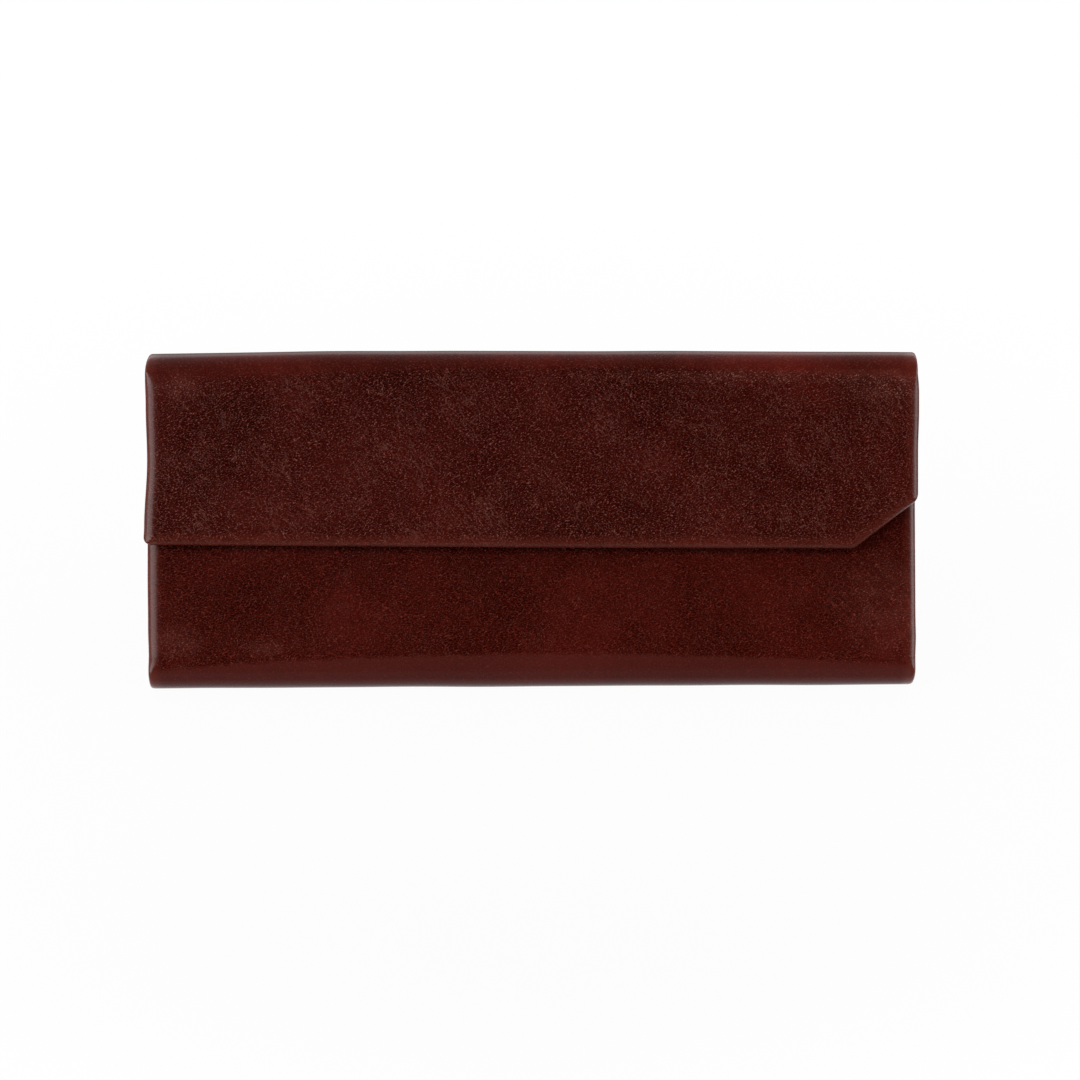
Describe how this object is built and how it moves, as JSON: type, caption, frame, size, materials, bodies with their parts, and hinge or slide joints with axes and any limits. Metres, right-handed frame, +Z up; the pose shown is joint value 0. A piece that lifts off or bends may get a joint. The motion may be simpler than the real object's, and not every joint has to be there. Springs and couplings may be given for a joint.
{
  "type": "glasses case",
  "caption": "Triangular folding glasses case of leather over board, with a magnetic flap, a lid that opens flat and a front wall that folds in.",
  "frame": {"origin": "middle of the underside, on the surface that the case stands on", "axes": "+X along the length of the case, -Y to the front that the flap closes, +Z up"},
  "size_m": [0.1614, 0.0672, 0.0637],
  "materials": {
    "leather": "semi-gloss, fine grain, dark mahogany",
    "microfibre": "brushed, matt",
    "greyboard": "raw pressed board",
    "nickel_plate": "satin nickel plate"
  },
  "bodies": {
    "base": {"base_leather": "leather", "base_board": "greyboard", "base_lining": "microfibre", "front_fold_leather": "leather", "front_fold_lining": "microfibre", "rear_fold_leather": "leather", "rear_fold_lining": "microfibre", "gusset_leather_left": "leather", "gusset_lining_left": "microfibre", "gusset_leather_right": "leather", "gusset_lining_right": "microfibre"},
    "front_wall": {"front_wall_leather": "leather", "front_wall_board": "greyboard", "front_wall_lining": "microfibre", "front_wall_magnet_left": "nickel_plate", "front_wall_magnet_right": "nickel_plate"},
    "lid": {"lid_leather": "leather", "lid_board": "greyboard", "lid_lining": "microfibre", "top_fold_leather": "leather", "top_fold_lining": "microfibre"},
    "flap": {"flap_leather": "leather", "flap_board": "greyboard", "flap_lining": "microfibre", "flap_magnet_left": "nickel_plate", "flap_magnet_right": "nickel_plate"}
  },
  "joints": [
    {"name": "front_fold", "type": "hinge", "parent": "base", "child": "front_wall", "pos_m": [0, -0.03132, 0.00383], "axis": [-1, 0, 0], "range_deg": [0, 54], "deforming": ["front_fold_leather", "front_fold_lining", "gusset_leather_left", "gusset_lining_left", "gusset_leather_right", "gusset_lining_right"]},
    {"name": "lid_hinge", "type": "hinge", "parent": "base", "child": "lid", "pos_m": [0, 0.03391, 0.00221], "axis": [-1, 0, 0], "range_deg": [0, 120], "deforming": ["rear_fold_leather", "rear_fold_lining"]},
    {"name": "flap_hinge", "type": "hinge", "parent": "lid", "child": "flap", "pos_m": [0, -0.00162, 0.06462], "axis": [-1, 0, 0], "range_deg": [0, 120], "deforming": ["top_fold_leather", "top_fold_lining"]}
  ]
}
